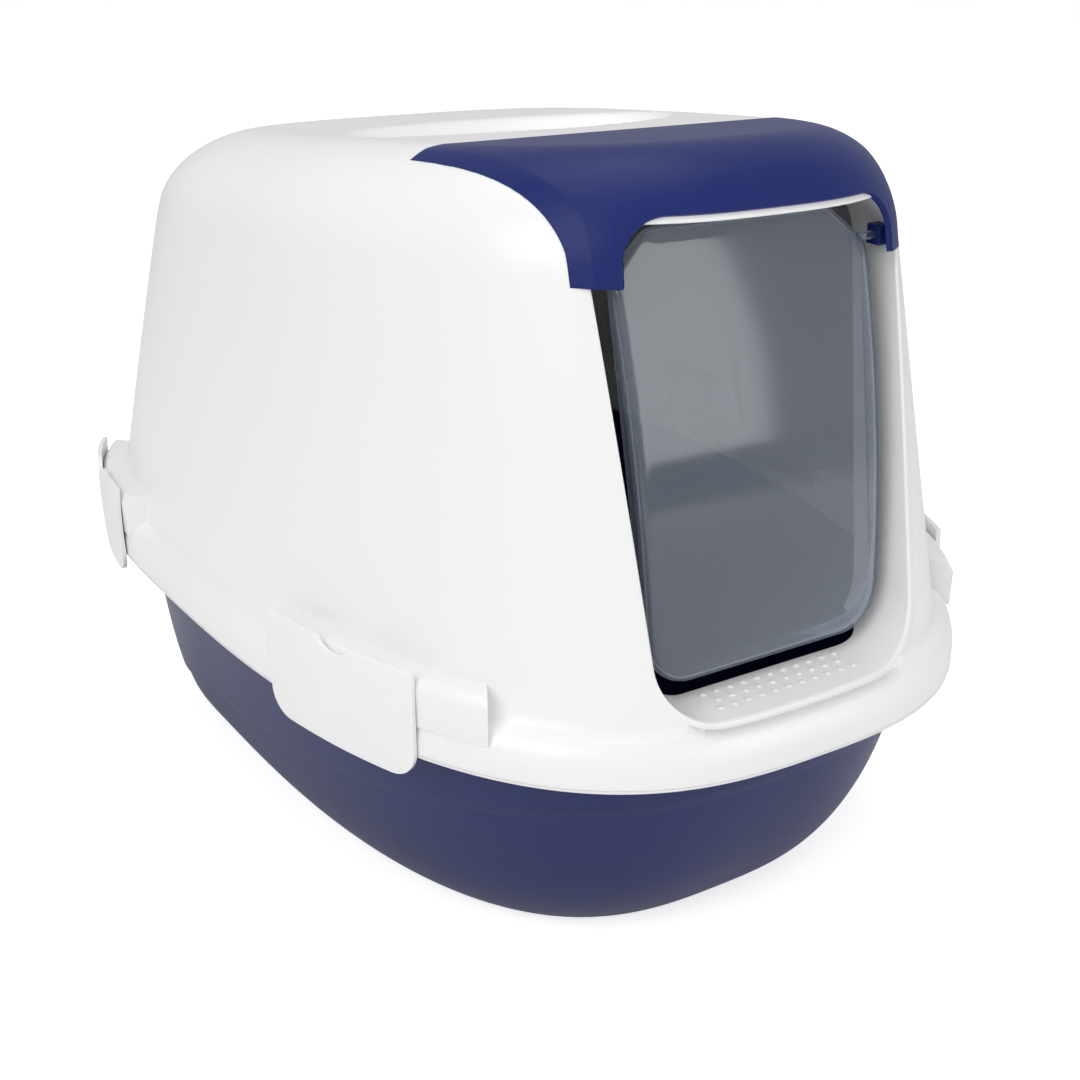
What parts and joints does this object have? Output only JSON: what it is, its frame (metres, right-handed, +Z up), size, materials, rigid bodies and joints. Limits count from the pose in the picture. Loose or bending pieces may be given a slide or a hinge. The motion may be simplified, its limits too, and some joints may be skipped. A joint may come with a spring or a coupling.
{
  "type": "litter tray",
  "caption": "Hooded cat litter tray: a rounded base pan, a clip-on hood with a visor over the entry, a clear swing door and an odour filter under a recess in the roof.",
  "frame": {"origin": "on the floor under the middle of the hood's rim", "axes": "+Z up, +Y from the entry towards the back, +X to the right seen from the front"},
  "size_m": [0.4304, 0.56, 0.4033],
  "materials": {
    "navy_plastic": "satin",
    "white_plastic": "satin",
    "navy_textured_plastic": "fine texture",
    "clear_plastic": "gloss",
    "clip_plastic": "satin",
    "holder_plastic": "satin",
    "filter_felt": "felt"
  },
  "bodies": {
    "pan": {"base_pan": "navy_plastic"},
    "hood": {"hood": "white_plastic", "visor": "navy_textured_plastic", "filter_holder": "holder_plastic", "filter_pad": "filter_felt"},
    "door": {"swing_door": "clear_plastic"},
    "clip_front_left": {"clip_front_left": "clip_plastic"},
    "clip_front_right": {"clip_front_right": "clip_plastic"},
    "clip_rear_left": {"clip_rear_left": "clip_plastic"},
    "clip_rear_right": {"clip_rear_right": "clip_plastic"}
  },
  "joints": [
    {"name": "hood_lift", "type": "slide", "parent": "pan", "child": "hood", "axis": [0, 0, 1], "range_m": [0, 0.1]},
    {"name": "door_swing", "type": "hinge", "parent": "hood", "child": "door", "pos_m": [0, -0.19998, 0.355], "axis": [1, 0, 0], "range_deg": [-78, 84]},
    {"name": "clip_front_right_turn", "type": "hinge", "parent": "pan", "child": "clip_front_right", "pos_m": [0.17952, -0.13384, 0.126], "axis": [0.2866, 0.9581, 0], "range_deg": [0, 114.6]},
    {"name": "clip_front_left_turn", "type": "hinge", "parent": "pan", "child": "clip_front_left", "pos_m": [-0.17952, -0.13384, 0.126], "axis": [0.2866, -0.9581, 0], "range_deg": [0, 114.6]},
    {"name": "clip_rear_right_turn", "type": "hinge", "parent": "pan", "child": "clip_rear_right", "pos_m": [0.20269, 0.16445, 0.126], "axis": [-0.1813, 0.9834, 0], "range_deg": [0, 114.6]},
    {"name": "clip_rear_left_turn", "type": "hinge", "parent": "pan", "child": "clip_rear_left", "pos_m": [-0.20269, 0.16445, 0.126], "axis": [-0.1813, -0.9834, 0], "range_deg": [0, 114.6]}
  ],
  "couplings": [
    {"joint": "clip_front_right_turn", "follows": "hood_lift", "rad_per_m": 20},
    {"joint": "clip_front_left_turn", "follows": "hood_lift", "rad_per_m": 20},
    {"joint": "clip_rear_right_turn", "follows": "hood_lift", "rad_per_m": 20},
    {"joint": "clip_rear_left_turn", "follows": "hood_lift", "rad_per_m": 20}
  ]
}
